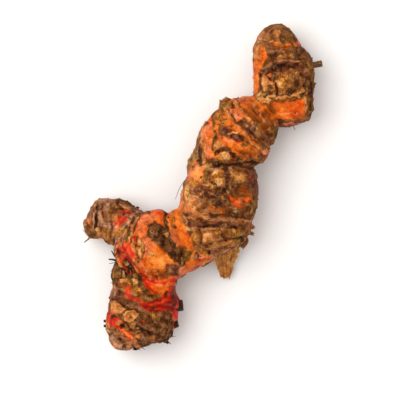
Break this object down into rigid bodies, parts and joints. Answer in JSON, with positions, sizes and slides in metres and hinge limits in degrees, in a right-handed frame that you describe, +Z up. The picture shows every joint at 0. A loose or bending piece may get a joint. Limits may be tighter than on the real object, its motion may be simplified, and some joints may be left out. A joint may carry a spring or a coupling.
{
  "type": "galangal rhizome",
  "caption": "Knobbly orange-brown galangal rhizome of swollen joints with ring scars, a side stub, shoot scars and dry scale leaves, lying flat.",
  "frame": {"origin": "on the surface it lies on, under the middle of its outline", "axes": "+Z up; the crown finger points to +Y and the side stub to -X; it is longest along Y and lowest along Z"},
  "size_m": [0.1009, 0.1374, 0.0312],
  "materials": {
    "rhizome_skin": "matt orange skin with brown, purple and cream corky crust",
    "dry_scale_leaf": "papery brown dry scale leaf",
    "cut_root": "dark fibrous cut root",
    "soil": "matt crumbs of dry soil and bark"
  },
  "bodies": {
    "root": {"galangal_rhizome": "rhizome_skin"}
  },
  "joints": []
}
